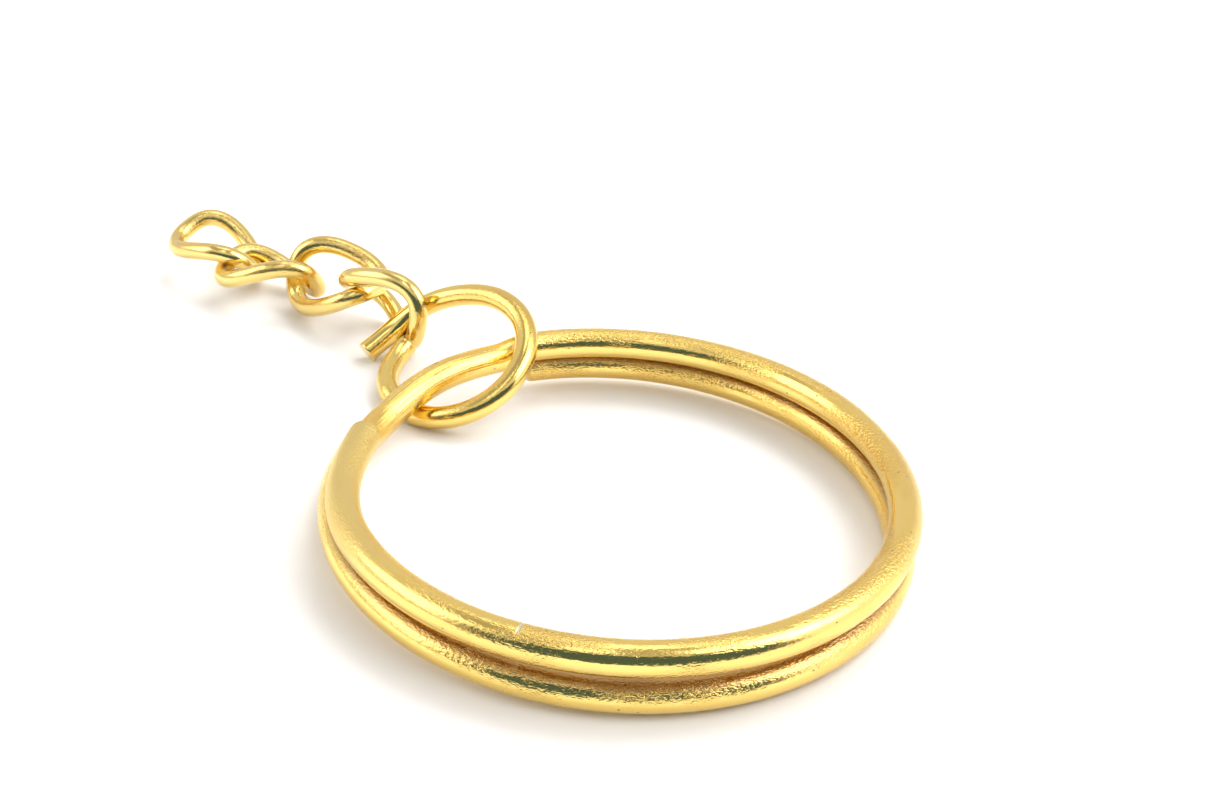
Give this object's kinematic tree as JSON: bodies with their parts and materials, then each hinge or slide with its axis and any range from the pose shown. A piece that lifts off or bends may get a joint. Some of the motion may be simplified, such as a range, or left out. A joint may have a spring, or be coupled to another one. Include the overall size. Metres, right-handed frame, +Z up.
{
  "type": "split key ring",
  "caption": "Double-coil wire split ring for holding keys, with an open jump ring hooked round it and a short tail of twisted oval chain links.",
  "frame": {"origin": "middle of the whole object's footprint, on the ground it lies on", "axes": "+Z up from the ground, through the split ring's opening; the chain tail runs towards -X and +Y"},
  "size_m": [0.0374, 0.0357, 0.0047],
  "materials": {
    "split_ring": "bright gold plating, fine lengthwise scratches",
    "jump_ring": "bright gold plating",
    "chain_link_1": "bright gold plating",
    "chain_link_2": "bright gold plating",
    "chain_link_3": "bright gold plating",
    "chain_link_4": "bright gold plating"
  },
  "bodies": {
    "split_ring": {"split_ring": "split_ring"},
    "jump_ring": {"jump_ring": "jump_ring"},
    "chain_link_1": {"chain_link_1": "chain_link_1"},
    "chain_link_2": {"chain_link_2": "chain_link_2"},
    "chain_link_3": {"chain_link_3": "chain_link_3"},
    "chain_link_4": {"chain_link_4": "chain_link_4"}
  },
  "joints": [
    {"name": "jump_ring_swing", "type": "hinge", "parent": "split_ring", "child": "jump_ring", "pos_m": [-0.00375, 0.00147, 0.00173], "axis": [-0.611, -0.7481, -0.259], "range_deg": [0, 90]},
    {"name": "link_1_swing", "type": "hinge", "parent": "jump_ring", "child": "chain_link_1", "pos_m": [-0.00406, 0.00877, 0.00258], "axis": [0.8231, -0.0637, 0.5643], "range_deg": [0, 75]},
    {"name": "link_2_swing", "type": "hinge", "parent": "chain_link_1", "child": "chain_link_2", "pos_m": [-0.00731, 0.01176, 0.00174], "axis": [0.7961, 0.2944, -0.5288], "range_deg": [0, 100]},
    {"name": "link_3_swing", "type": "hinge", "parent": "chain_link_2", "child": "chain_link_3", "pos_m": [-0.01122, 0.0122, 0.00097], "axis": [0.3549, -0.7888, -0.5018], "range_deg": [-60, 60]},
    {"name": "link_4_swing", "type": "hinge", "parent": "chain_link_3", "child": "chain_link_4", "pos_m": [-0.0134, 0.01495, 0.00166], "axis": [-0.9468, 0.0261, 0.3206], "range_deg": [0, 95]}
  ]
}
